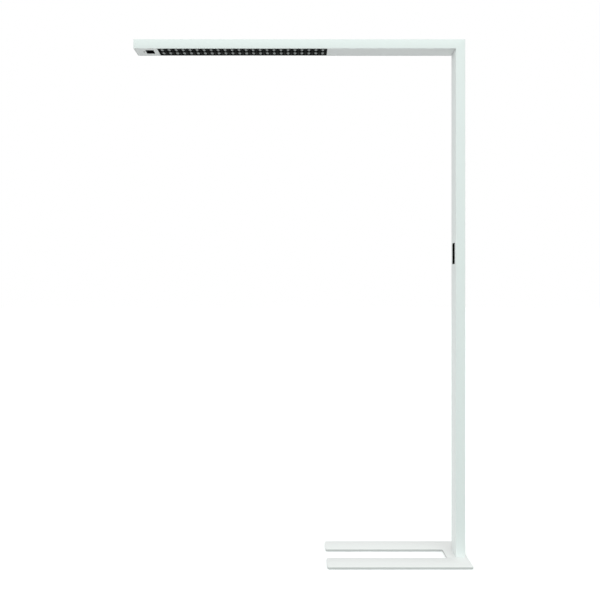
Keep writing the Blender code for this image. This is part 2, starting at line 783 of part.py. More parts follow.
def make_sensor_bay():
    """The sensor cover at the arm's tip, with the window, photocell, board and detector."""
    cover = cover_channel("sensor_cover", ARM_TIP + 2 * MM + 2 * GAP, LOUVRE_START - GAP, 14 * MM)
    half_x, half_y = WINDOW_SIZE[0] / 2, WINDOW_SIZE[1] / 2
    flange_low = UNDER_LOW + WALL + GAP
    subtract(
        cover,
        slab(
            "window_hole",
            around(SENSOR_X, half_x + GAP),
            both(half_y + GAP),
            (ARM_LOW - MM, flange_low),
        ),
        cylinder(
            "photocell_hole",
            (PHOTOCELL_X, 0, ARM_LOW - MM),
            (PHOTOCELL_X, 0, flange_low),
            PHOTOCELL_RADIUS + GAP,
        ),
    )
    board_low = ARM_LOW + 12 * MM
    for number, (x, y) in enumerate(((-26, -18), (26, -18), (-26, 18), (26, 18)), start=1):
        base = (SENSOR_X + x * MM, y * MM)
        post = cylinder(
            f"sensor_post_{number}", (*base, UNDER_LOW + MM), (*base, board_low - GAP), 2.5 * MM, sides=12
        )
        unite(cover, post)

    window = slab(
        "sensor_window",
        around(SENSOR_X, half_x),
        both(half_y),
        (UNDER_LOW + 0.1 * MM, flange_low + MM),
        "smoked_window",
    )
    flange = slab(
        "window_flange",
        around(SENSOR_X, half_x + 2 * MM),
        both(half_y + 2 * MM),
        (flange_low, flange_low + 1.2 * MM),
    )
    unite(window, flange)

    turned(
        "photocell_lens",
        [
            (0, board_low - GAP),
            (PHOTOCELL_RADIUS, board_low - GAP),
            (PHOTOCELL_RADIUS, flange_low + MM),
            (PHOTOCELL_RADIUS + 1.2 * MM, flange_low + MM),
            (PHOTOCELL_RADIUS + 1.2 * MM, flange_low),
            (PHOTOCELL_RADIUS, flange_low),
            (PHOTOCELL_RADIUS, UNDER_LOW + 0.6 * MM),
            (PHOTOCELL_RADIUS - 0.7 * MM, UNDER_LOW + 0.1 * MM),
            (0, UNDER_LOW),
        ],
        (PHOTOCELL_X, 0, 0),
        (0, 0, 1),
        "smoked_window",
    )
    slab(
        "sensor_board",
        around(SENSOR_X, 29 * MM),
        both(22 * MM),
        (board_low, board_low + BOARD_THICK),
        "green_board",
    )
    can_top = board_low - GAP
    turned(
        "pir_detector",
        [(0, can_top), (4.6 * MM, can_top), (4.6 * MM, can_top - MM), (4.1 * MM, can_top - MM),
         (4.1 * MM, flange_low + 2.4 * MM), (3.5 * MM, flange_low + 1.8 * MM), (0, flange_low + 1.8 * MM)],
        (SENSOR_X, 0, 0),
        (0, 0, 1),
        "steel",
    )


# ---------------------------------------------------------------- control panel


def make_panel():
    """The bezel in the column's inner face: a thin lip, a body with three wells, and posts."""
    lip = PANEL_SIZE[0] / 2, PANEL_SIZE[1] / 2
    body = PANEL_BODY[0] / 2, PANEL_BODY[1] / 2
    bezel = slab(
        "control_bezel",
        (PANEL_FRONT, -BACK - GAP),
        both(lip[0]),
        around(PANEL_Z, lip[1]),
        "black_plastic",
        0.3 * MM,
    )
    body_x = (-BACK - 2 * GAP, PANEL_REAR)
    unite(bezel, slab("bezel_body", body_x, both(body[0]), around(PANEL_Z, body[1])))
    for name, z in (("low", PANEL_Z - body[1]), ("high", PANEL_Z + body[1])):
        grip = (-INNER_X + GAP, -INNER_X + 1.5 * MM)
        hook = slab(f"bezel_hook_{name}", grip, both(6 * MM), around(z, 1.2 * MM))
        unite(bezel, hook)
    for number, (y, z) in enumerate(POST_PLACES, start=1):
        start, end = (PANEL_REAR - MM, y, PANEL_Z + z), (PANEL_BOARD_X - GAP, y, PANEL_Z + z)
        unite(bezel, cylinder(f"bezel_post_{number}", start, end, 2 * MM, sides=16))
    well = BUTTON_SIZE[0] / 2 + GAP, BUTTON_SIZE[1] / 2 + GAP
    for number in range(len(BUTTON_NAMES)):
        z = button_height(number)
        cutter = slab(
            f"button_well_{number + 1}",
            (PANEL_FRONT - MM, PANEL_REAR + MM),
            both(well[0]),
            around(z, well[1]),
        )
        subtract(bezel, cutter)
    make_panel_board(bezel)


def button_height(number):
    return PANEL_Z + (number - 1) * BUTTON_PITCH


def make_panel_board(bezel):
    """The switch board on the bezel's posts, and the two screws that hold it."""
    rear = PANEL_BOARD_X + BOARD_THICK
    board = slab(
        "control_board", (PANEL_BOARD_X, rear), both(10.5 * MM), around(PANEL_Z, 36.5 * MM), "green_board"
    )
    for name, (y, z) in zip(("upper", "lower"), POST_PLACES):
        z += PANEL_Z
        hole = cylinder(f"board_hole_{name}", (-9 * MM, y, z), (rear + MM, y, z), MM + GAP, sides=12)
        subtract(board, hole)
        subtract(bezel, hole)
        pan_screw(f"board_screw_{name}", (rear + GAP, y, z), (1, 0, 0), MM, 7 * MM, "zinc")


def make_buttons():
    """Three push buttons, each placed by an empty on its line of travel, and their switches."""
    half_y, half_z = BUTTON_SIZE[0] / 2, BUTTON_SIZE[1] / 2
    front = PANEL_FRONT - BUTTON_PROUD
    flange = PANEL_REAR + GAP, PANEL_REAR + 1.3 * MM
    switch_rear = PANEL_BOARD_X - GAP
    for number, name in enumerate(BUTTON_NAMES):
        z = button_height(number)
        travel = bpy.data.objects.new(f"{name}_travel", None)
        travel.location = (front, 0, z)
        travel.empty_display_size = 10 * MM
        PIECES.objects.link(travel)
        cap = slab(name, (0, flange[1] - front), both(half_y), both(half_z), "black_plastic", 0.5 * MM)
        rim = slab(
            f"{name}_rim", (flange[0] - front, flange[1] - front), both(half_y + MM), both(half_z + MM)
        )
        start, end = (flange[0] - front, 0, 0), (flange[1] - front + 2.1 * MM, 0, 0)
        pad = cylinder(f"{name}_pad", start, end, 2 * MM)
        for piece in (cap, rim, pad):
            piece.parent = travel
        unite(cap, rim, pad)
        switch = slab(
            f"tact_switch_{number + 1}",
            (switch_rear - 3.5 * MM, switch_rear),
            both(3 * MM),
            around(z, 3 * MM),
            "black_plastic",
        )
        stem = cylinder(
            f"tact_stem_{number + 1}",
            (switch_rear - 5.2 * MM, 0, z),
            (switch_rear - 3 * MM, 0, z),
            1.7 * MM,
            sides=16,
        )
        unite(switch, stem)


# ---------------------------------------------------------------- leads inside the profile


def make_leads():
    """The leads that the profile holds all the way, as routes in millimetres."""
    lead(
        "mains_lead",
        [(5.4, 0, 64), (0, 0, 65.5), (-5, 0, 72), (-5, 0, 86), (1, -1, 130), (8, -3, 220), (9, -3, 700),
         (9, -3, 1300), (8, -3, 1700), (2, -5, 1810), (0, -6, 1870), (-1.4, -6, 1896), (-4.6, -6, 1910),
         (-11, -6, 1920), (-20, -6, 1924.6), (-32, -6, 1926), (-46, -6, 1926), (-61.6, -6, 1926)],
        3.1 * MM,
        "white_jacket",
    )
    driver_route = [(-86.4, -6, 1927), (-93, -6, 1927), (-99.6, -6, 1927)]
    lead("driver_mains_lead", driver_route, 2.4 * MM, "white_jacket")
    lead(
        "control_lead",
        [(0.1, 2, 1160), (2, 2, 1160), (3.8, 2.6, 1162.4), (4.4, 4, 1170), (4, 6, 1186), (2, 8, 1210),
         (-4, 9, 1300), (-4, 9, 1820), (-4.6, 9, 1880), (-6, 9, 1901), (-9.5, 9, 1913), (-16, 9, 1921),
         (-26, 9, 1924.4), (-40, 9, 1925.2), (-70, 9, 1926), (-99.6, 9, 1927)],
        1.7 * MM,
        "grey_jacket",
    )
    lead(
        "sensor_lead",
        [(-1155, 15, 1929.3), (-1155, 15, 1934), (-1153, 15, 1939), (-1146, 15, 1941.4), (-1130, 15, 1941.8),
         (-820, 15, 1941.8), (-510, 15, 1941.8), (-494, 15, 1941.2), (-486, 15, 1938), (-483, 14.5, 1932),
         (-478, 13, 1927.5), (-470, 11.5, 1926), (-460.4, 11, 1926)],
        1.4 * MM,
        "grey_jacket",
    )
    lead(
        "uplight_lead",
        [(-460.4, -8, 1926), (-467, -8, 1926.6), (-473, -8, 1930), (-475, -8, 1936), (-474.4, -8, 1941),
         (-471, -8, 1943.6), (-467, -8, 1943.6), (-464, -8, 1941.4)],
        1.1 * MM,
        "white_jacket",
    )
    lead(
        "direct_led_lead",
        [(-460.4, 2, 1925), (-470, 2, 1925.4), (-482, 2, 1928.6), (-492, 2, 1933.2), (-498, 2, 1934.8),
         (-502.6, 2, 1934.9)],
        0.75 * MM,
        "white_jacket",
    )


def main():
    make_base()
    make_glides()
    make_foot_block()
    make_gland()
    column = make_column()
    make_arm()
    make_end_cap()
    make_corner_bracket(column)
    make_louvre()
    make_direct_light()
    make_uplight()
    make_driver()
    make_terminal_block()
    make_bottom_cover()
    make_sensor_bay()
    make_panel()
    make_buttons()
    make_leads()


clear_scene()
PIECES = collection("floor_luminaire")
CUTTERS = collection("cutters")
main()
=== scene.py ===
"""Looks of a free-standing L-shaped office luminaire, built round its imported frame.

The frame gives every place: metres, +Z up, the origin on the floor under the column's
axis, and the arm along -X. Each sub-assembly is a class that builds or dresses its pieces.
"""

import logging
import math
from collections.abc import Sequence
from dataclasses import dataclass
from enum import Enum
from typing import Any

import bmesh
import bpy
from bmesh.types import BMEdge, BMesh, BMFace, BMVert
from bpy.types import Material, Node, NodeSocket, NodeTree, Object
from mathutils import Matrix, Vector


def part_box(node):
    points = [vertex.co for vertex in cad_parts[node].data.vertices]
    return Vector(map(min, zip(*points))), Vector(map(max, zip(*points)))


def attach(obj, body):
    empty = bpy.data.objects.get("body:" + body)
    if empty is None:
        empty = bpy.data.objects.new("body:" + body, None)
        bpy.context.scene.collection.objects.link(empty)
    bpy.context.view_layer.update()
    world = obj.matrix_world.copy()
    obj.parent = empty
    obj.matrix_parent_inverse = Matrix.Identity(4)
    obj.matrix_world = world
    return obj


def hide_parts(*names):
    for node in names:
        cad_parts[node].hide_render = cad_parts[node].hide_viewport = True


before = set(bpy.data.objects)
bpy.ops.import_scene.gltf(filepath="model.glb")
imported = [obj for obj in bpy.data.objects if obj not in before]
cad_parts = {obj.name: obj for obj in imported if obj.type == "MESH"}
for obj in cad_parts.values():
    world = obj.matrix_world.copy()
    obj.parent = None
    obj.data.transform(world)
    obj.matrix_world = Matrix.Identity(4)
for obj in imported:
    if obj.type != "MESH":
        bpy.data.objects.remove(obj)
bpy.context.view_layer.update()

LOG = logging.getLogger("floor_luminaire")
MM = 0.001
LAMP = "lamp"

Color = tuple[float, float, float]
Factors = tuple[float, float, float]
Outline = list[tuple[float, float]]

UP = Vector((0, 0, 1))
WHITE = (1.0, 1.0, 1.0)
EVEN = (1.0, 1.0, 1.0)
RESIN_IOR = 1.5
ACRYLIC_IOR = 1.49

# The places of a Mix node's sockets for colours.
MIX_FIRST, MIX_SECOND, MIX_RESULT = 6, 7, 2

# Faces that meet at less than this many degrees are shaded as one surface.
TIGHT_ANGLE, USUAL_ANGLE, WIDE_ANGLE = 30.0, 40.0, 50.0

TURN_STEPS = 48
SMALL_TURN_STEPS = 32
EDGE_SEGMENTS = 2
WELD_DISTANCE = 0.004 * MM
AXIS_WELD_DISTANCE = 0.001 * MM
FLAT_ANGLE = math.radians(0.5)


# ---------------- shader maths


class Wire:
    """An output socket whose arithmetic is written with Python's operators."""

    def __init__(self, graph: "Graph", socket: NodeSocket) -> None:
        """Keeps the graph, to add nodes to it, and the socket itself."""
        self.graph = graph
        self.socket = socket

    def _math(self, operation: str, first: "Wire | float", second: "Wire | float" = 0.0) -> "Wire":
        """Adds one Math node and returns its result."""
        return self.graph.node("ShaderNodeMath", {"operation": operation}, {0: first, 1: second})

    def __add__(self, other: "Wire | float") -> "Wire":
        """self + other."""
        return self._math("ADD", self, other)

    def __radd__(self, other: "Wire | float") -> "Wire":
        """other + self."""
        return self._math("ADD", other, self)

    def __sub__(self, other: "Wire | float") -> "Wire":
        """self - other."""
        return self._math("SUBTRACT", self, other)

    def __rsub__(self, other: "Wire | float") -> "Wire":
        """other - self."""
        return self._math("SUBTRACT", other, self)

    def __mul__(self, other: "Wire | float") -> "Wire":
        """self * other."""
        return self._math("MULTIPLY", self, other)

    def __rmul__(self, other: "Wire | float") -> "Wire":
        """other * self."""
        return self._math("MULTIPLY", other, self)

    def __pow__(self, power: float) -> "Wire":
        """self to a power."""
        return self._math("POWER", self, power)

    def distance_to(self, other: "Wire | float") -> "Wire":
        """The absolute difference of self and other."""
        return self._math("ABSOLUTE", self - other)

    def turns(self, period: float) -> "Wire":
        """How far self is through the present one of its periods, from 0 to 1."""
        return self._math("FLOORED_MODULO", self, period) * (1 / period)


class Detail(Enum):
    """How much finer structure a noise carries."""

    SMOOTH = 1.0
    PLAIN = 2.0
    CLOUDY = 3.0
    STREAKY = 4.0
    FIBROUS = 6.0


class Graph:
    """A tree of shader nodes."""

    def __init__(self, tree: NodeTree) -> None:
        """Keeps the tree that nodes are added to."""
        self.tree = tree

    def fill(self, target: Node, values: dict[Any, Any]) -> None:
        """Fills a node's inputs.

        Args:
            target: The node.
            values: A number, a colour or a Wire for each input, by name or place.
        """
        for key, value in values.items():
            if isinstance(value, Wire):
                self.tree.links.new(value.socket, target.inputs[key])
            else:
                target.inputs[key].default_value = value

    def node(self, kind: str, settings: dict[str, Any], values: dict[Any, Any], out: Any = 0) -> Wire:
        """Adds any node.

        Args:
            kind: The node's Blender type.
            settings: Its properties, set before its inputs are filled.
            values: A number, a colour or a Wire for each input, by name or place.
            out: The name or place of the output to return.

        Returns:
            That output, as a Wire.
        """
        made = self.tree.nodes.new(kind)
        for key, value in settings.items():
            setattr(made, key, value)
        self.fill(made, values)
        return Wire(self, made.outputs[out])

    def ramp(self, value: Wire, low: float, high: float) -> Wire:
        """Turns a value into a smooth step.

        Args:
            value: What varies.
            low: The result is 0 below this.
            high: The result is 1 above this.

        Returns:
            The step, from 0 to 1.
        """
        values = {"Value": value, "From Min": low, "From Max": high}
        return self.node("ShaderNodeMapRange", {"interpolation_type": "SMOOTHSTEP"}, values)

    def blend(self, share: Wire, first: Color | Wire, second: Color | Wire) -> Wire:
        """Mixes two colours.

        Args:
            share: How much of the second, from 0 to 1.
            first: The colour at 0.
            second: The colour at 1.

        Returns:
            The mixed colour.
        """
        start, end = (color if isinstance(color, Wire) else (*color, 1.0) for color in (first, second))
        values = {"Factor": share, MIX_FIRST: start, MIX_SECOND: end}
        return self.node("ShaderNodeMix", {"data_type": "RGBA"}, values, MIX_RESULT)


class SurfaceGraph(Graph):
    """The nodes of one material, round its Principled shader."""

    def __init__(self, name: str) -> None:
        """Makes a new material.

        Args:
            name: The material's name.
        """
        self.material = bpy.data.materials.new(name)
        self.material.use_nodes = True
        super().__init__(self.material.node_tree)

    def place(self) -> Wire:
        """The point on the piece, in metres."""
        return self.node("ShaderNodeTexCoord", {}, {}, "Object")

    def along(self, axis: str) -> Wire:
        """One coordinate of the point on the piece: X, Y or Z."""
        return self.node("ShaderNodeSeparateXYZ", {}, {0: self.place()}, axis)

    def noise(self, size: float, detail: Detail = Detail.PLAIN, stretch: Factors = EVEN) -> Wire:
        """Adds a cloudy pattern.

        Args:
            size: About how many metres across its blobs are.
            detail: How much finer structure it carries.
            stretch: A factor for each axis; below 1 the blobs are longer along it.

        Returns:
            The pattern, from 0 to 1.
        """
        mapped = self.node("ShaderNodeMapping", {}, {"Vector": self.place(), "Scale": stretch})
        values = {"Vector": mapped, "Scale": 1 / size, "Detail": detail.value}
        return self.node("ShaderNodeTexNoise", {}, values, "Fac")

    def set(self, **sockets: Any) -> None:
        """Fills inputs of the shader; Base_Color stands for Base Color."""
        values = {key.replace("_", " "): value for key, value in sockets.items()}
        self.fill(self.tree.nodes["Principled BSDF"], values)

    def bump(self, height: Wire, depth: float) -> None:
        """Feeds a relief of `depth` metres to the shader's normal."""
        values = {"Height": height, "Distance": depth, "Strength": 1.0}
        self.set(Normal=self.node("ShaderNodeBump", {}, values))


def scaled(color: Color, share: float, lift: float = 0.0) -> Color:
    """Makes a colour lighter or darker.

    Args:
        color: The colour.
        share: What each channel is multiplied by.
        lift: What is then added to each.

    Returns:
        The new colour, with no channel over 1.
    """
    red, green, blue = (min(1.0, channel * share + lift) for channel in color)
    return red, green, blue


# ---------------- finishes


class Surface:
    """What every finish can do. A finish's roughness is that of its smoothest spots."""

    def make(self, name: str) -> Material:
        """Makes the finish's material.

        Args:
            name: The material's name.

        Returns:
            The material.
        """
        graph = SurfaceGraph(name)
        self.paint(graph)
        return graph.material

    def paint(self, graph: SurfaceGraph) -> None:
        """Adds the finish's nodes to a material's graph."""
        raise NotImplementedError


@dataclass(frozen=True)
class PowderCoat(Surface):
    """Baked polyester powder: a fine orange peel and a faint unevenness of tone and gloss."""

    color: Color
    roughness: float = 0.37
    unevenness: float = 0.1
    gloss_patch: float = 9 * MM
    tone_patch: float = 140 * MM
    tone_low: float = 0.985
    peel: float = 0.9 * MM
    fine_peel: float = 0.3 * MM
    fine_share: float = 0.35
    depth: float = 0.008 * MM
    # Painted shade: the next three fields darken the coat's colour below a height, standing in for the
    # shade that falls near the floor.
    painted_shade_below: float = 0.0
    painted_shade_fade: float = 0.5 * MM
    painted_shade_share: float = 0.72

    def paint(self, graph: SurfaceGraph) -> None:
        """Paints the coat, with painted shade that darkens its colour below a given height, near the
        floor.

        Args:
            graph: The material's graph.
        """
        tone = graph.noise(self.tone_patch, Detail.CLOUDY)
        coat = graph.blend(tone, scaled(self.color, self.tone_low), self.color)
        # Painted shade: the colour is darkened below the given height, for the shade on the plate's sides
        # near the floor.
        if self.painted_shade_below:
            unshaded = graph.ramp(graph.along("Z"), self.painted_shade_below - self.painted_shade_fade, self.painted_shade_below)
            coat = graph.blend(unshaded, scaled(self.color, self.painted_shade_share), coat)
        patches = graph.noise(self.gloss_patch, Detail.STREAKY)
        graph.set(Base_Color=coat, Roughness=self.roughness + self.unevenness * patches, IOR=RESIN_IOR)
        fine = graph.noise(self.fine_peel, Detail.SMOOTH)
        graph.bump(graph.noise(self.peel, Detail.SMOOTH) + self.fine_share * fine, self.depth)


@dataclass(frozen=True)
class MouldedPlastic(Surface):
    """Injection-moulded plastic with a spark-eroded grain."""

    color: Color
    roughness: float = 0.34
    unevenness: float = 0.12
    grain: float = 0.35 * MM
    light_share: float = 1.25
    light_lift: float = 0.001
    depth: float = 0.012 * MM
    sheen: float = 0.5

    def paint(self, graph: SurfaceGraph) -> None:
        """Paints the grain, whose peaks are lighter and rougher.

        Args:
            graph: The material's graph.
        """
        grain = graph.noise(self.grain)
        lighter = scaled(self.color, self.light_share, self.light_lift)
        graph.set(Base_Color=graph.blend(grain, self.color, lighter))
        graph.set(Roughness=self.roughness + self.unevenness * grain)
        graph.set(IOR=RESIN_IOR, Specular_IOR_Level=self.sheen)
        graph.bump(grain, self.depth)


@dataclass(frozen=True)
class PolishedMoulding(Surface):
    """High-gloss moulding: the faint waviness of its tool, and a little dust."""

    color: Color
    roughness: float = 0.1
    wave: float = 6 * MM
    depth: float = 0.01 * MM
    sheen: float = 0.01
    dust: float = 0.8 * MM
    dust_step: tuple[float, float] = (0.62, 0.8)
    dust_lift: float = 0.012
    dust_roughness: float = 0.06

    def paint(self, graph: SurfaceGraph) -> None:
        """Paints the gloss with its dust.

        Args:
            graph: The material's graph.
        """
        dust = graph.ramp(graph.noise(self.dust, Detail.CLOUDY), *self.dust_step)
        graph.set(Base_Color=graph.blend(dust, self.color, scaled(self.color, 1.0, self.dust_lift)))
        graph.set(Roughness=self.roughness + self.dust_roughness * dust)
        graph.set(IOR=RESIN_IOR, Specular_IOR_Level=self.sheen)
        graph.bump(graph.noise(self.wave, Detail.SMOOTH), self.depth)


@dataclass(frozen=True)
class SensorPane(Surface):
    """Smoked, infrared-clear plastic whose inner side carries a lens's fine rings."""

    centre: tuple[float, float]
    color: Color = (0.003, 0.003, 0.0035)
    ring: float = 0.5 * MM
    roughness: float = 0.07
    ring_roughness: float = 0.05
    depth: float = 0.004 * MM

    def paint(self, graph: SurfaceGraph) -> None:
        """Paints the rings round the pane's centre.

        Args:
            graph: The material's graph.
        """
        across = graph.along("X").distance_to(self.centre[0])
        over = graph.along("Y").distance_to(self.centre[1])
        groove = ((across * across + over * over) ** 0.5).turns(self.ring)
        graph.set(Base_Color=(*self.color, 1.0), Roughness=self.roughness + self.ring_roughness * groove)
        graph.set(IOR=ACRYLIC_IOR, Specular_IOR_Level=0.0)
        graph.bump(groove, self.depth)


@dataclass(frozen=True)
class OpalSheet(Surface):
    """Milky acrylic: soft, satin, with fine bubbles of the diffusing filler."""

    color: Color = (0.9, 0.92, 0.91)
    filler: float = 1.5 * MM
    tone_low: float = 0.97
    roughness: float = 0.3
    unevenness: float = 0.08
    gloss_patch: float = 12 * MM
    depth: float = 0.003 * MM

    def paint(self, graph: SurfaceGraph) -> None:
        """Paints the filler under a satin face.

        Args:
            graph: The material's graph.
        """
        filler = graph.noise(self.filler, Detail.CLOUDY)
        graph.set(Base_Color=graph.blend(filler, scaled(self.color, self.tone_low), self.color))
        graph.set(Roughness=self.roughness + self.unevenness * graph.noise(self.gloss_patch))
        graph.set(IOR=ACRYLIC_IOR)
        graph.bump(filler, self.depth)


@dataclass(frozen=True)
class ClearAcrylic(Surface):
    """Lens material with a frosted, slightly milky body."""

    color: Color = (0.185, 0.2, 0.196)
    clarity: float = 0.15
    haze: float = 1.2 * MM
    light_share: float = 1.15
    roughness: float = 0.22
    unevenness: float = 0.1
    depth: float = 0.01 * MM

    def paint(self, graph: SurfaceGraph) -> None:
        """Paints the haze in the body.

        Args:
            graph: The material's graph.
        """
        haze = graph.noise(self.haze, Detail.CLOUDY)
        graph.set(Base_Color=graph.blend(haze, self.color, scaled(self.color, self.light_share)))
        graph.set(Roughness=self.roughness + self.unevenness * haze)
        graph.set(IOR=ACRYLIC_IOR, Transmission_Weight=self.clarity)
        graph.bump(haze, self.depth)


@dataclass(frozen=True)
class SolderMask(Surface):
    """A lacquered circuit board: tracks under the lacquer, and bare pads at a pitch."""

    lacquer: Color
    track: Color
    pad: Color = (0.78, 0.76, 0.7)
    pitch: float = 5 * MM
    track_share: float = 0.22
    pad_share: float = 0.1
    fade: float = 0.03
    wander: float = 0.6 * MM
    wander_size: float = 11 * MM
    roughness: float = 0.42
    pad_gloss: float = 0.15
    relief: float = 0.03 * MM

    def paint(self, graph: SurfaceGraph) -> None:
        """Paints wandering tracks along X and square pads at every crossing.

        Args:
            graph: The material's graph.
        """
        along, across = graph.along("X"), graph.along("Y")
        wandering = across + self.wander * graph.noise(self.wander_size)
        track = self.beyond(graph, wandering, 0.5 - self.track_share)
        pad = 1 - self.beyond(graph, along, self.pad_share)
        pad = pad * (1 - self.beyond(graph, across, self.pad_share))
        lacquered = graph.blend(track, self.lacquer, self.track)
        graph.set(Base_Color=graph.blend(pad, lacquered, self.pad))
        graph.set(Metallic=pad, Roughness=self.roughness - self.pad_gloss * pad)
        graph.bump(track + pad, self.relief)

    def beyond(self, graph: SurfaceGraph, way: Wire, share: float) -> Wire:
        """Marks stripes along the edges of every pitch.

        Args:
            graph: The material's graph.
            way: The coordinate across the stripes.
            share: How far from the middle of a pitch they begin, as a share of it.

        Returns:
            1 on the stripes and 0 between them.
        """
        return graph.ramp(way.turns(self.pitch).distance_to(0.5), share, share + self.fade)


@dataclass(frozen=True)
class PlatedSteel(Surface):
    """Zinc-plated or stainless steel, with fine drawn streaks along one direction."""

    color: Color
    roughness: float = 0.22
    unevenness: float = 0.2
    streak: float = 0.5 * MM
    stretch: Factors = (1.0, 1.0, 0.12)
    cloud: float = 18 * MM
    tone_low: float = 0.88
    depth: float = 0.006 * MM

    def paint(self, graph: SurfaceGraph) -> None:
        """Paints the streaks, and the clouds of the plating.

        Args:
            graph: The material's graph.
        """
        streak = graph.noise(self.streak, Detail.STREAKY, self.stretch)
        cloud = graph.noise(self.cloud, Detail.CLOUDY)
        graph.set(Base_Color=graph.blend(cloud, scaled(self.color, self.tone_low), self.color))
        graph.set(Metallic=1.0, Roughness=self.roughness + self.unevenness * streak)
        graph.bump(streak, self.depth)


@dataclass(frozen=True)
class CableJacket(Surface):
    """Extruded cable sheath: dull, slightly uneven along its length."""

    color: Color
    patch: float = 3 * MM
    stretch: Factors = (1.0, 1.0, 0.3)
    tone_low: float = 0.9
    roughness: float = 0.5
    unevenness: float = 0.12
    depth: float = 0.02 * MM

    def paint(self, graph: SurfaceGraph) -> None:
        """Paints the sheath's long patches.

        Args:
            graph: The material's graph.
        """
        patches = graph.noise(self.patch, Detail.CLOUDY, self.stretch)
        graph.set(Base_Color=graph.blend(patches, scaled(self.color, self.tone_low), self.color))
        graph.set(Roughness=self.roughness + self.unevenness * patches)
        graph.bump(patches, self.depth)


@dataclass(frozen=True)
class FeltPad(Surface):
    """Dense dark pad with short tangled fibres."""

    color: Color = (0.05, 0.05, 0.052)
    light_share: float = 2.2
    fibres: tuple[float, float] = (0.25 * MM, 0.3 * MM)
    lie: float = 0.25
    roughness: float = 0.92
    depth: float = 0.08 * MM

    def paint(self, graph: SurfaceGraph) -> None:
        """Paints two layers of fibres, one along Y and one along X.

        Args:
            graph: The material's graph.
        """
        lengthwise = graph.noise(self.fibres[0], Detail.FIBROUS, (1.0, self.lie, 1.0))
        crosswise = graph.noise(self.fibres[1], Detail.FIBROUS, (self.lie, 1.0, 1.0))
        tangle = lengthwise + crosswise
        light = scaled(self.color, self.light_share)
        graph.set(Base_Color=graph.blend(tangle * (1 / len(self.fibres)), self.color, light))
        graph.set(Roughness=self.roughness)
        graph.bump(tangle, self.depth)


@dataclass(frozen=True)
class Phosphor(Surface):
    """The yellow face of a white LED."""

    color: Color = (0.86, 0.62, 0.09)
    light: Color = (0.93, 0.75, 0.2)
    grain: float = 0.12 * MM
    roughness: float = 0.35
    depth: float = 0.01 * MM

    def paint(self, graph: SurfaceGraph) -> None:
        """Paints the grains of the phosphor.

        Args:
            graph: The material's graph.
        """
        grain = graph.noise(self.grain, Detail.CLOUDY)
        graph.set(Base_Color=graph.blend(grain, self.color, self.light), Roughness=self.roughness)
        graph.bump(grain, self.depth)


class Finish(Enum):
    """Every finish on the luminaire, after the record's slot that it belongs to."""

    COAT = ("white_coat", PowderCoat((0.795, 0.815, 0.809)))
    # The base coat carries painted shade below 8.6 mm, on the plate's sides near the floor.
    BASE_COAT = ("white_steel", PowderCoat((0.855, 0.84, 0.838), roughness=0.41, painted_shade_below=8.6 * MM))
    LOUVRE_BLACK = ("black_gloss", PolishedMoulding((0.005, 0.0058, 0.0056)))
    PANEL_BLACK = ("black_plastic", MouldedPlastic((0.0008, 0.001, 0.0009), sheen=0.0))
    BUTTON_BLACK = ("black_plastic", MouldedPlastic((0.0016, 0.0019, 0.0018), roughness=0.4, sheen=0.0))
    SYMBOL_GREY = ("black_plastic", MouldedPlastic((0.06, 0.062, 0.064), roughness=0.44, sheen=0.0))
    GLAND_BLACK = ("black_plastic", MouldedPlastic((0.02, 0.02, 0.021), roughness=0.44))
    OPAL = ("opal", OpalSheet())
    CLEAR = ("clear_lens", ClearAcrylic())
    WHITE_BOARD = ("white_board", SolderMask((0.82, 0.83, 0.81), (0.74, 0.75, 0.73)))
    GREEN_BOARD = ("green_board", SolderMask((0.02, 0.13, 0.05), (0.035, 0.2, 0.08), pitch=2.54 * MM))
    PHOSPHOR = ("white_board", Phosphor())
    ZINC = ("zinc", PlatedSteel((0.66, 0.67, 0.68), roughness=0.28))
    STAINLESS = ("stainless", PlatedSteel((0.6, 0.6, 0.61)))
    DRIVER_GREY = ("grey_plastic", MouldedPlastic((0.5, 0.51, 0.52), roughness=0.44))
    WHITE_JACKET = ("white_jacket", CableJacket((0.8, 0.8, 0.79)))
    GREY_JACKET = ("grey_jacket", CableJacket((0.25, 0.26, 0.27)))
    PAD = ("rubber", FeltPad())

    @property
    def slot(self) -> str:
        """The record's material slot."""
        return self.value[0]

    def material(self) -> Material:
        """The finish's material, made once."""
        name = self.name.lower()
        return bpy.data.materials.get(name) or self.value[1].make(name)


# ---------------- making pieces


def deliver(
    name: str,
    bm: BMesh,
    finish: Finish | Material,
    body: str = LAMP,
    stands_for: Sequence[str] = (),
    smooth: float = USUAL_ANGLE,
) -> Object:
    """Turns a finished bmesh into a piece that rides on a body.

    Args:
        name: The piece's name.
        bm: Its shape in the frame's coordinates; it is freed.
        finish: Its finish, or a material of its own.
        body: The CAD body that carries it.
        stands_for: CAD nodes that it takes the place of.
        smooth: Faces that meet at less than this many degrees are shaded as one surface.

    Returns:
        The new object.
    """
    mesh = bpy.data.meshes.new(name)
    bm.normal_update()
    bm.to_mesh(mesh)
    bm.free()
    mesh.polygons.foreach_set("use_smooth", [True] * len(mesh.polygons))
    mesh.set_sharp_from_angle(angle=math.radians(smooth))
    obj = bpy.data.objects.new(name, mesh)
    bpy.context.scene.collection.objects.link(obj)
    mesh.materials.append(finish.material() if isinstance(finish, Finish) else finish)
    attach(obj, body)
    if stands_for:
        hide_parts(*stands_for)
    LOG.info("%s: %d faces on %s", name, len(mesh.polygons), body)
    return obj


def dress(finish: Finish, *nodes: str) -> None:
    """Gives CAD nodes whose shape is right their finish.

    Args:
        finish: The finish they get.
        *nodes: Their names.
    """
    made = finish.material()
    for node in nodes:
        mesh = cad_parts[node].data
        mesh.materials.clear()
        mesh.materials.append(made)
        LOG.info("%s: dressed in %s", node, made.name)


def numbered(stem: str, count: int) -> list[str]:
    """The names stem_1 to stem_count."""
    return [f"{stem}_{number}" for number in range(1, count + 1)]


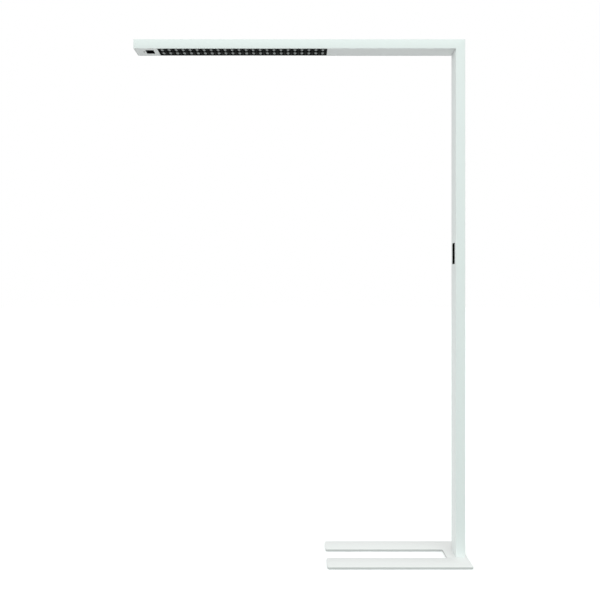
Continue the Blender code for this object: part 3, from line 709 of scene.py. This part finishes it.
def reface(name: str, node: str, finish: Finish | Material, body: str = LAMP) -> None:
    """Puts a copy of a CAD node in its place, with its triangles merged into faces.

    Args:
        name: The piece's name.
        node: The CAD node.
        finish: Its finish, or a material of its own.
        body: The CAD body that carries it.
    """
    bm = bmesh.new()
    bm.from_mesh(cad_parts[node].data)
    bmesh.ops.remove_doubles(bm, verts=bm.verts, dist=WELD_DISTANCE)
    bmesh.ops.dissolve_limit(bm, angle_limit=FLAT_ANGLE, verts=bm.verts, edges=bm.edges)
    deliver(name, bm, finish, body, [node])


def soften(bm: BMesh, edges: Sequence[BMEdge], radius: float, segments: int = EDGE_SEGMENTS) -> None:
    """Rounds edges of a shape.

    Args:
        bm: The shape.
        edges: The edges to round.
        radius: How far the rounding reaches from each edge.
        segments: Faces across each rounding.
    """
    bmesh.ops.bevel(
        bm, geom=edges, offset=radius, segments=segments, affect="EDGES", profile=0.5, material=-1
    )


def block(low: Vector, high: Vector, edge: float = 0.0) -> BMesh:
    """Makes a box.

    Args:
        low: One corner.
        high: The opposite corner.
        edge: Rounding of every edge, or 0 to leave them sharp.

    Returns:
        The box.
    """
    bm = bmesh.new()
    bmesh.ops.create_cube(bm, size=1.0)
    bmesh.ops.scale(bm, vec=high - low, verts=bm.verts)
    bmesh.ops.translate(bm, vec=(low + high) / 2, verts=bm.verts)
    if edge:
        soften(bm, bm.edges[:], edge)
    return bm


def dome(radius: float, tall: float, steps: int) -> Outline:
    """Draws a quarter of an ellipse.

    Args:
        radius: Its reach from the axis.
        tall: Its height.
        steps: Straight stretches along it.

    Returns:
        (radius, height) points, from 0 on the axis to the rim at full height.
    """
    angles = [math.pi / 2 * step / steps for step in range(steps + 1)]
    return [(radius * math.sin(angle), tall * (1 - math.cos(angle))) for angle in angles]


def turn(outline: Outline, place: Vector, toward: Vector, steps: int = TURN_STEPS) -> BMesh:
    """Makes a closed turned shape.

    Args:
        outline: (radius, height) points of a half section. A first and last radius of 0
            close on the axis, and any other outline is a ring.
        place: Where height 0 lies.
        toward: The way that heights rise.
        steps: Faces round the axis.

    Returns:
        The shape, with its normals outwards.
    """
    bm = bmesh.new()
    points = [bm.verts.new((radius, 0.0, height)) for radius, height in outline]
    edges = [bm.edges.new(pair) for pair in zip(points, points[1:])]
    if outline[0][0] or outline[-1][0]:
        edges.append(bm.edges.new((points[-1], points[0])))
    bmesh.ops.spin(
        bm, geom=points + edges, cent=(0, 0, 0), axis=UP, angle=math.tau, steps=steps, use_merge=True
    )
    bmesh.ops.remove_doubles(bm, verts=bm.verts, dist=AXIS_WELD_DISTANCE)
    bmesh.ops.recalc_face_normals(bm, faces=bm.faces)
    turned = UP.rotation_difference(toward).to_matrix()
    bmesh.ops.transform(bm, matrix=Matrix.Translation(place) @ turned.to_4x4(), verts=bm.verts)
    return bm


def absorb(bm: BMesh, other: BMesh) -> None:
    """Adds one shape to another.

    Args:
        bm: The shape that grows.
        other: The shape added; it is freed.
    """
    scratch = bpy.data.meshes.new("scratch")
    other.to_mesh(scratch)
    other.free()
    bm.from_mesh(scratch)
    bpy.data.meshes.remove(scratch)


# ---------------- sub-assemblies


@dataclass
class Base:
    """The U-shaped plate, its glides and the screws under it."""

    glides: int = 5
    glide_chamfer: float = 0.1 * MM
    glide_rim: float = 0.6 * MM
    glide_rim_middle: tuple[float, float] = (0.2 * MM, 0.22 * MM)
    groove_share: float = 0.72
    groove_mouth: float = 0.5 * MM
    groove_top: float = 0.25 * MM
    groove_deep: float = 0.25 * MM

    def build(self) -> None:
        """Builds the plate and the glides, and dresses the screws."""
        reface("base_shell", "base_plate", Finish.BASE_COAT)
        for node in numbered("floor_glide", self.glides):
            self.glide(node)
        dress(Finish.ZINC, "foot_screw_near", "foot_screw_far", "foot_block")

    def glide(self, node: str) -> None:
        """Makes a round pad with a soft lower rim and a pressed ring.

        Args:
            node: The CAD glide that it takes the place of.
        """
        low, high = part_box(node)
        radius = (high.x - low.x) / 2
        tall = high.z - low.z
        ring = radius * self.groove_share
        outline = [
            (0, tall),
            (radius - self.glide_chamfer, tall),
            (radius, tall - self.glide_chamfer),
            (radius, self.glide_rim),
            (radius - self.glide_rim_middle[0], self.glide_rim_middle[1]),
            (radius - self.glide_rim, 0),
            (ring + self.groove_mouth, 0),
            (ring + self.groove_top, self.groove_deep),
            (ring - self.groove_top, self.groove_deep),
            (ring - self.groove_mouth, 0),
            (0, 0),
        ]
        middle = Vector(((low.x + high.x) / 2, (low.y + high.y) / 2, low.z))
        deliver(f"{node}_pad", turn(outline, middle, UP), Finish.PAD, stands_for=[node])


@dataclass
class Column:
    """The upright profile with its fixings."""

    seam_inset: float = 0.02 * MM
    seam_half: float = 0.13 * MM
    corner_radius: float = 1.2 * MM
    corner_segments: int = 4

    def build(self) -> None:
        """Builds the shell and the mitre's seam, and dresses the fixings."""
        reface("column_shell", "column_profile", Finish.COAT)
        dress(Finish.ZINC, "column_set_screw_lower", "column_set_screw_upper", "corner_bracket")
        dress(Finish.ZINC, "arm_bracket_screw_near", "arm_bracket_screw_far")
        dress(Finish.STAINLESS, "column_bracket_screw_near", "column_bracket_screw_far")
        self.corner_seam()

    def corner_seam(self) -> None:
        """Fills the hairline between the mitred ends, as a ground and coated joint does."""
        low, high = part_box("arm_profile")
        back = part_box("column_profile")[1].x
        deep = high.z - low.z
        middle = Vector((back - deep / 2, 0, high.z - deep / 2))
        half = Vector((deep / 2, high.y, deep / 2)) - Vector((self.seam_inset,) * 3)
        bm = block(middle - half, middle + half)
        edges = [edge for edge in bm.edges if abs(edge.verts[0].co.x - edge.verts[1].co.x) > deep / 2]
        soften(bm, edges, self.corner_radius, self.corner_segments)
        normal = Vector((-1, 0, 1)).normalized()
        for side in (normal, -normal):
            cut = bmesh.ops.bisect_plane(
                bm,
                geom=bm.verts[:] + bm.edges[:] + bm.faces[:],
                plane_co=middle + side * self.seam_half,
                plane_no=side,
                clear_outer=True,
            )
            rim = [item for item in cut["geom_cut"] if isinstance(item, BMEdge)]
            bmesh.ops.edgeloop_fill(bm, edges=rim)
        bmesh.ops.recalc_face_normals(bm, faces=bm.faces)
        deliver("corner_seam", bm, Finish.COAT)


@dataclass
class CordGland:
    """The ribbed bush at the column's back, which the mains cord leaves through, and its nut."""

    ribs: int = 24
    steps_to_rib: int = 4
    rib_depth: float = 0.25 * MM
    rib_band: float = 0.4 * MM
    rib_start: float = 0.1 * MM
    flute_below: float = -0.5
    stand_off: float = 0.3 * MM
    bore: float = 3.7 * MM
    barrel: float = 6 * MM
    nose_chamfer: float = 0.9 * MM
    nose_spread: float = 0.1 * MM
    collar_slope: float = 0.5 * MM
    collar_tall: float = 2.6 * MM
    collar_edge: float = 2 * MM
    collar_foot: float = 0.2 * MM
    mouth_wide: float = 0.5 * MM
    mouth_deep: float = 0.7 * MM

    def build(self) -> None:
        """Builds the bush round the CAD gland's axis, and dresses the nut."""
        low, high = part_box("cord_gland")
        middle = (low + high) / 2
        radius = (high.y - low.y) / 2
        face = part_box("column_profile")[1].x + self.stand_off
        nose = high.x - face
        inner = low.x - face
        outline = [
            (self.barrel - self.nose_chamfer, nose),
            (self.barrel + self.nose_spread, nose - self.nose_chamfer),
            (radius - self.collar_slope, self.collar_tall),
            (radius, self.collar_edge),
            (radius, self.collar_foot),
            (radius - self.collar_foot, 0),
            (self.barrel, 0),
            (self.barrel, inner),
            (self.bore, inner),
            (self.bore, nose - self.mouth_deep),
            (self.bore + self.mouth_wide, nose),
        ]
        place = Vector((face, middle.y, middle.z))
        bm = turn(outline, place, Vector((1, 0, 0)), self.steps_to_rib * self.ribs)
        self.flute(bm, place, radius - self.rib_band)
        stands_for = ["cord_gland"]
        deliver("cord_gland_bush", bm, Finish.GLAND_BLACK, stands_for=stands_for, smooth=TIGHT_ANGLE)
        dress(Finish.GLAND_BLACK, "gland_nut")

    def flute(self, bm: BMesh, place: Vector, beyond: float) -> None:
        """Presses shallow flutes between the ribs of the collar, but not into its flat face.

        Args:
            bm: The turned bush.
            place: Where its axis meets the column's face.
            beyond: Only points further than this from the axis move.
        """
        for vert in bm.verts:
            out = Vector((0, vert.co.y - place.y, vert.co.z - place.z))
            if vert.co.x < place.x + self.rib_start or out.length < beyond:
                continue
            if math.cos(self.ribs * math.atan2(out.z, out.y)) < self.flute_below:
                vert.co -= out.normalized() * self.rib_depth


@dataclass
class Arm:
    """The arm's profile with its end cap and underside covers."""

    nodes: tuple[str, ...] = ("arm_profile", "arm_bottom_cover", "sensor_cover", "arm_end_cap")

    def build(self) -> None:
        """Builds the shells of the arm and its covers."""
        for node in self.nodes:
            reface(f"{node}_shell", node, Finish.COAT)


@dataclass
class Louvre:
    """Two rows of shallow black funnels, each round the mouth of a lens."""

    cells_long: int = 24
    cells_wide: int = 2
    pitch: float = 26.4 * MM
    mouth: float = 24.6 * MM
    throat: tuple[float, float] = (11.2 * MM, 19.6 * MM)
    deep: float = 2.0 * MM
    floor: float = 4.8 * MM
    levels: int = 6
    draw: float = 0.1 * MM
    collar_draw: float = 0.02 * MM
    wall: float = 0.7 * MM
    edge: float = 0.25 * MM

    def build(self) -> None:
        """Builds the grid of funnels within the CAD louvre's box."""
        low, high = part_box("louvre")
        middle = (low + high) / 2
        size = Vector((self.cells_long * self.pitch, self.cells_wide * self.pitch, 1))
        bm = self.grid(size, Vector((middle.x, middle.y, low.z)))
        rim = [edge for edge in bm.edges if edge.is_boundary]
        cells = bm.faces[:]
        self.sink(bm, cells, (self.pitch - self.mouth) / 2 - self.edge, 0)
        for vert in {vert for edge in rim for vert in edge.verts}:
            vert.co.x += self.margin(vert.co.x - middle.x, size.x / 2, (high.x - low.x) / 2)
            vert.co.y += self.margin(vert.co.y - middle.y, size.y / 2, (high.y - low.y) / 2)
        self.sink(bm, cells, self.edge, self.edge)
        before = self.edge
        for level in range(1, self.levels + 1):
            share = level / self.levels
            up = self.edge + (self.deep - self.edge) * math.sin(share * math.pi / 2)
            self.sink(bm, cells, self.draw, up - before)
            for face in cells:
                self.shape(face, share)
            before = up
        self.sink(bm, cells, self.collar_draw, self.floor - self.deep)
        bmesh.ops.delete(bm, geom=cells, context="FACES")
        skirt = bmesh.ops.extrude_edge_only(bm, edges=rim)
        raised = [item for item in skirt["geom"] if isinstance(item, BMVert)]
        bmesh.ops.translate(bm, vec=(0, 0, high.z - low.z - self.wall), verts=raised)
        bmesh.ops.recalc_face_normals(bm, faces=bm.faces)
        stands_for = ["louvre"]
        obj = deliver("louvre_cells", bm, Finish.LOUVRE_BLACK, stands_for=stands_for, smooth=TIGHT_ANGLE)
        skin = obj.modifiers.new("wall", "SOLIDIFY")
        skin.thickness = self.wall
        skin.offset = -1.0
        skin.use_even_offset = False

    def grid(self, size: Vector, place: Vector) -> BMesh:
        """Makes a flat grid with one face for each cell, facing down.

        Args:
            size: Its length and width, and 1.
            place: Its middle.

        Returns:
            The grid.
        """
        bm = bmesh.new()
        bmesh.ops.create_grid(bm, x_segments=self.cells_long, y_segments=self.cells_wide, size=0.5)
        bmesh.ops.scale(bm, vec=size, verts=bm.verts)
        bmesh.ops.translate(bm, vec=place, verts=bm.verts)
        bmesh.ops.reverse_faces(bm, faces=bm.faces)
        return bm

    def spread(self, count: int) -> list[float]:
        """The offsets of `count` cells from the middle of their row."""
        return [(number - (count - 1) / 2) * self.pitch for number in range(count)]

    @staticmethod
    def sink(bm: BMesh, cells: list[BMFace], across: float, up: float) -> None:
        """Draws every cell's face in by `across` on each side, and up by `up`."""
        bmesh.ops.inset_individual(bm, faces=cells, thickness=across, depth=-up, use_even_offset=True)

    def shape(self, face: BMFace, share: float) -> None:
        """Gives a cell's face its size on the way up.

        Args:
            face: The face.
            share: How far it is from the mouth, at 0, to the throat, at 1.
        """
        middle = face.calc_center_median()
        across = [self.mouth + (throat - self.mouth) * share for throat in self.throat]
        for vert in face.verts:
            vert.co.x = middle.x + math.copysign(across[0] / 2, vert.co.x - middle.x)
            vert.co.y = middle.y + math.copysign(across[1] / 2, vert.co.y - middle.y)

    @staticmethod
    def margin(offset: float, half_grid: float, half_box: float) -> float:
        """Works out how far a rim point moves to lie on the louvre's box.

        Args:
            offset: Where it is from the middle, along one axis.
            half_grid: Half the grid's size along that axis.
            half_box: Half the box's size along it.

        Returns:
            The move, or 0 where the point isn't at that side's edge.
        """
        if abs(offset) < half_grid - MM:
            return 0.0
        return math.copysign(half_box - half_grid, offset)


@dataclass
class DirectLight:
    """The plate of lenses over the louvre and the LED boards above it."""

    louvre: Louvre
    plate_tall: float = 2 * MM
    plate_edge: float = 0.3 * MM
    exit_size: tuple[float, float] = (5.2 * MM, 9.4 * MM)
    entry_share: float = 0.5
    bulge: float = 1.0 * MM
    bulge_steps: int = 5
    band: tuple[float, float] = (0.97, 1.2 * MM)
    shoulder: tuple[float, float] = (0.85, 0.6)
    root: float = 0.5 * MM
    lens_steps: int = 24
    board_edge: float = 0.15 * MM
    package: Vector = Vector((3.5 * MM, 2.8 * MM, 0.7 * MM))
    package_edge: float = 0.12 * MM

    def places(self) -> list[Vector]:
        """Finds the cells' middles.

        Returns:
            Their places, in the plane of the floor.
        """
        low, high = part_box("louvre")
        middle = (low + high) / 2
        return [
            Vector((middle.x + along, middle.y + across, 0))
            for along in self.louvre.spread(self.louvre.cells_long)
            for across in self.louvre.spread(self.louvre.cells_wide)
        ]

    def build(self) -> None:
        """Builds the lens plate, the boards and their LEDs."""
        low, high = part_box("lens_plate")
        plate_low = high.z - self.plate_tall
        tall = plate_low - low.z + self.bulge
        outline = [
            *dome(1.0, self.bulge, self.bulge_steps),
            (self.band[0], self.bulge + self.band[1]),
            (self.shoulder[0], tall * self.shoulder[1]),
            (self.entry_share, tall + self.root),
            (0, tall + self.root),
        ]
        grown = Matrix.Diagonal((*self.exit_size, 1, 1))
        bm = block(Vector((low.x, low.y, plate_low)), high, self.plate_edge)
        for place in self.places():
            lens = turn(outline, Vector(), UP, self.lens_steps)
            moved = Matrix.Translation((place.x, place.y, low.z - self.bulge))
            bmesh.ops.transform(lens, matrix=moved @ grown, verts=lens.verts)
            absorb(bm, lens)
        deliver("lens_array", bm, Finish.CLEAR, stands_for=["lens_plate"], smooth=WIDE_ANGLE)
        for node in ("direct_led_board_tip", "direct_led_board_inner"):
            self.board(node)

    def board(self, node: str) -> None:
        """Makes one LED board, with an LED over each of its cells.

        Args:
            node: The CAD board that it takes the place of.
        """
        low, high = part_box(node)
        deliver(f"{node}_plate", block(low, high, self.board_edge), Finish.WHITE_BOARD, stands_for=[node])
        chips = bmesh.new()
        for place in self.places():
            if low.x < place.x < high.x:
                top = Vector((place.x, place.y, low.z))
                corner = top - Vector((self.package.x / 2, self.package.y / 2, self.package.z))
                absorb(chips, block(corner, corner + self.package, self.package_edge))
        deliver(f"{node}_leds", chips, Finish.PHOSPHOR)


@dataclass
class Uplight:
    """The opal cover in the arm's top, and the boards under it."""

    boards: int = 3

    def build(self) -> None:
        """Builds the opal cover and dresses the boards."""
        reface("uplight_diffuser", "uplight_cover", Finish.OPAL)
        dress(Finish.WHITE_BOARD, *numbered("uplight_led_board", self.boards))


@dataclass
class SensorBay:
    """The presence sensor's window, the photocell and what stands behind them."""

    slot: str = "smoked_window"
    flange_wide: float = 1.2 * MM
    flange_low: float = 2.3 * MM
    flange_high: float = 3.3 * MM
    dome_tall: float = 0.9 * MM
    dome_steps: int = 6
    dome_ring: float = 0.3 * MM

    def build(self) -> None:
        """Builds the window and the photocell's lens, and dresses what is behind them."""
        low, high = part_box("sensor_window")
        middle = (low + high) / 2
        pane = SensorPane((middle.x, middle.y)).make("sensor_pane")
        reface("sensor_window_pane", "sensor_window", pane)
        self.photocell()
        dress(Finish.GREEN_BOARD, "sensor_board")
        dress(Finish.STAINLESS, "pir_detector")

    def photocell(self) -> None:
        """Makes the photocell's small domed light guide."""
        low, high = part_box("photocell_lens")
        middle = (low + high) / 2
        flange = (high.x - low.x) / 2
        radius = flange - self.flange_wide
        tall = high.z - low.z
        outline = [
            (0, tall),
            (radius, tall),
            (radius, self.flange_high),
            (flange, self.flange_high),
            (flange, self.flange_low),
            (radius, self.flange_low),
            *reversed(dome(radius, self.dome_tall, self.dome_steps)),
        ]
        pane = SensorPane((middle.x, middle.y), ring=self.dome_ring).make("photocell_pane")
        bm = turn(outline, Vector((middle.x, middle.y, low.z)), UP, SMALL_TURN_STEPS)
        deliver("photocell_dome", bm, pane, stands_for=["photocell_lens"])


class Symbol(Enum):
    """What is raised on a button."""

    UP = "up"
    AUTO = "auto"
    DOWN = "down"


@dataclass
class ControlPanel:
    """The black panel in the column's inner face: bezel, three buttons and their board."""

    symbol_size: float = 2.6 * MM
    symbol_rise: float = 0.12 * MM
    symbol_sunk: float = 0.02 * MM
    arrow_corners: int = 3
    arrow_taper: float = 0.96
    ring_inner: float = 0.72

    def build(self) -> None:
        """Builds the bezel and the buttons, and dresses the board behind them."""
        reface("control_bezel_shell", "control_bezel", Finish.PANEL_BLACK)
        for symbol in Symbol:
            self.button(symbol)
        dress(Finish.GREEN_BOARD, "control_board")
        dress(Finish.PANEL_BLACK, *numbered("tact_switch", len(Symbol)))
        dress(Finish.ZINC, "board_screw_upper", "board_screw_lower")

    def button(self, symbol: Symbol) -> None:
        """Makes one button's cap, with its symbol in slight relief.

        Args:
            symbol: The button's symbol, which also names its node and its body.
        """
        node = f"button_{symbol.value}"
        body = f"{symbol.value}_button"
        reface(f"{node}_cap", node, Finish.BUTTON_BLACK, body)
        low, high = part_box(node)
        face = low.x - self.symbol_rise + self.symbol_sunk
        bm = self.ring() if symbol is Symbol.AUTO else self.arrow(symbol)
        facing = Matrix.Rotation(-math.pi / 2, 4, "Y")
        moved = Matrix.Translation((face, (low.y + high.y) / 2, (low.z + high.z) / 2))
        bmesh.ops.transform(bm, matrix=moved @ facing, verts=bm.verts)
        bmesh.ops.recalc_face_normals(bm, faces=bm.faces)
        deliver(f"{node}_symbol", bm, Finish.SYMBOL_GREY, body)

    def arrow(self, symbol: Symbol) -> BMesh:
        """Makes a small solid triangle.

        Args:
            symbol: Up or down, the way that it points on the column.

        Returns:
            The triangle, lying flat at the origin.
        """
        way = -1 if symbol is Symbol.UP else 1
        bm = bmesh.new()
        bmesh.ops.create_cone(
            bm,
            cap_ends=True,
            segments=self.arrow_corners,
            radius1=self.symbol_size,
            radius2=self.symbol_size * self.arrow_taper,
            depth=self.symbol_rise,
            matrix=Matrix.Rotation(way * math.pi / 2, 4, "Z"),
        )
        return bm

    def ring(self) -> BMesh:
        """Makes a thin ring, lying flat at the origin.

        Returns:
            The ring.
        """
        inner = self.symbol_size * self.ring_inner
        rise = self.symbol_rise / 2
        outline = [(inner, -rise), (self.symbol_size, -rise), (self.symbol_size, rise), (inner, rise)]
        return turn(outline, Vector(), UP, SMALL_TURN_STEPS)


@dataclass
class Innards:
    """What the profile hides: the driver, the terminals and the leads."""

    def build(self) -> None:
        """Dresses the hidden pieces."""
        dress(Finish.DRIVER_GREY, "led_driver")
        dress(Finish.ZINC, "driver_screw_in", "driver_screw_out")
        dress(Finish.WHITE_JACKET, "terminal_block", "mains_lead", "driver_mains_lead")
        dress(Finish.WHITE_JACKET, "uplight_lead", "direct_led_lead")
        dress(Finish.GREY_JACKET, "control_lead", "sensor_lead")


# ---------------- studio


@dataclass
class Studio:
    """A plain pale floor, soft light from all round and from above the arm, and the camera."""

    eye: Vector = Vector((-0.6017, -1.956, 0.9727))
    lens: float = 30.87
    sensor: float = 36.0
    sky_front: float = 1.36
    sky_back: float = 0.68
    ground_front: float = 0.3
    ground_back: float = 1.1
    horizon: tuple[float, float] = (-0.08, 0.0)
    sides: tuple[float, float] = (-0.35, 0.1)
    front_tint: Color = (0.905, 1.0, 0.97)
    floor_size: float = 120.0
    floor_drop: float = 0.4 * MM
    floor_roughness: float = 0.9
    floor_glow: float = 0.15
    box_watts: float = 12.0
    box_size: tuple[float, float] = (4.0, 0.8)
    box_place: Vector = Vector((-0.5, -2.0, 2.7))
    box_aim: Vector = Vector((-0.5, 0, 1.7))

    def build(self) -> None:
        """Sets up the camera, floor, world and light."""
        bpy.context.scene.view_settings.view_transform = "Standard"
        self.camera()
        self.floor()
        self.world()
        self.soft_box()

    def camera(self) -> None:
        """Stands a level camera in front of the arm, at desk height."""
        data = bpy.data.cameras.new("camera")
        data.lens = self.lens
        data.sensor_width = self.sensor
        camera = bpy.data.objects.new("camera", data)
        camera.location = self.eye
        camera.rotation_euler = (math.pi / 2, 0, 0)
        bpy.context.scene.collection.objects.link(camera)
        bpy.context.scene.camera = camera

    def floor(self) -> None:
        """Lays a pale floor; as a source of light, the world's own lower half stands for it."""
        bm = bmesh.new()
        bmesh.ops.create_grid(bm, x_segments=1, y_segments=1, size=self.floor_size / 2)
        mesh = bpy.data.meshes.new("floor")
        bm.to_mesh(mesh)
        bm.free()
        graph = SurfaceGraph("pale_floor")
        graph.set(Base_Color=(*WHITE, 1), Roughness=self.floor_roughness, Specular_IOR_Level=0.0)
        graph.set(Emission_Color=(*WHITE, 1), Emission_Strength=self.floor_glow)
        mesh.materials.append(graph.material)
        floor = bpy.data.objects.new("floor", mesh)
        floor.location.z = -self.floor_drop
        floor.visible_diffuse = False
        bpy.context.scene.collection.objects.link(floor)

    def world(self) -> None:
        """Lights from all round: paler above the horizon than below it, tinted in front."""
        world = bpy.data.worlds.new("studio")
        world.use_nodes = True
        graph = Graph(world.node_tree)
        direction = graph.node("ShaderNodeTexCoord", {}, {}, "Generated")
        above = graph.ramp(graph.node("ShaderNodeSeparateXYZ", {}, {0: direction}, "Z"), *self.horizon)
        behind = graph.ramp(graph.node("ShaderNodeSeparateXYZ", {}, {0: direction}, "Y"), *self.sides)
        ground = self.ground_front + (self.ground_back - self.ground_front) * behind
        sky = self.sky_front + (self.sky_back - self.sky_front) * behind
        tint = graph.blend(behind, self.front_tint, WHITE)
        values = {"Strength": ground + (sky - ground) * above, "Color": tint}
        soft = graph.node("ShaderNodeBackground", {}, values)
        backdrop = graph.node("ShaderNodeBackground", {}, {"Color": (*WHITE, 1)})
        seen = graph.node("ShaderNodeLightPath", {}, {}, "Is Camera Ray")
        chosen = graph.node("ShaderNodeMixShader", {}, {0: seen, 1: soft, 2: backdrop})
        graph.fill(world.node_tree.nodes["World Output"], {"Surface": chosen})
        bpy.context.scene.world = world

    def soft_box(self) -> None:
        """Hangs a long soft box over the camera, aimed at the arm."""
        light = bpy.data.lights.new("soft_box", "AREA")
        light.shape = "RECTANGLE"
        light.size, light.size_y = self.box_size
        light.energy = self.box_watts
        lamp = bpy.data.objects.new("soft_box", light)
        lamp.location = self.box_place
        lamp.rotation_euler = (self.box_aim - self.box_place).to_track_quat("-Z", "Y").to_euler()
        bpy.context.scene.collection.objects.link(lamp)


def main() -> None:
    """Builds the studio and every sub-assembly in turn."""
    logging.basicConfig(level=logging.INFO, format="%(name)s: %(message)s")
    louvre = Louvre()
    parts = [
        Studio(),
        Base(),
        Column(),
        CordGland(),
        Arm(),
        louvre,
        DirectLight(louvre),
        Uplight(),
        SensorBay(),
        ControlPanel(),
        Innards(),
    ]
    for part in parts:
        LOG.info("building %s", type(part).__name__)
        part.build()


if __name__ == "__main__":
    main()
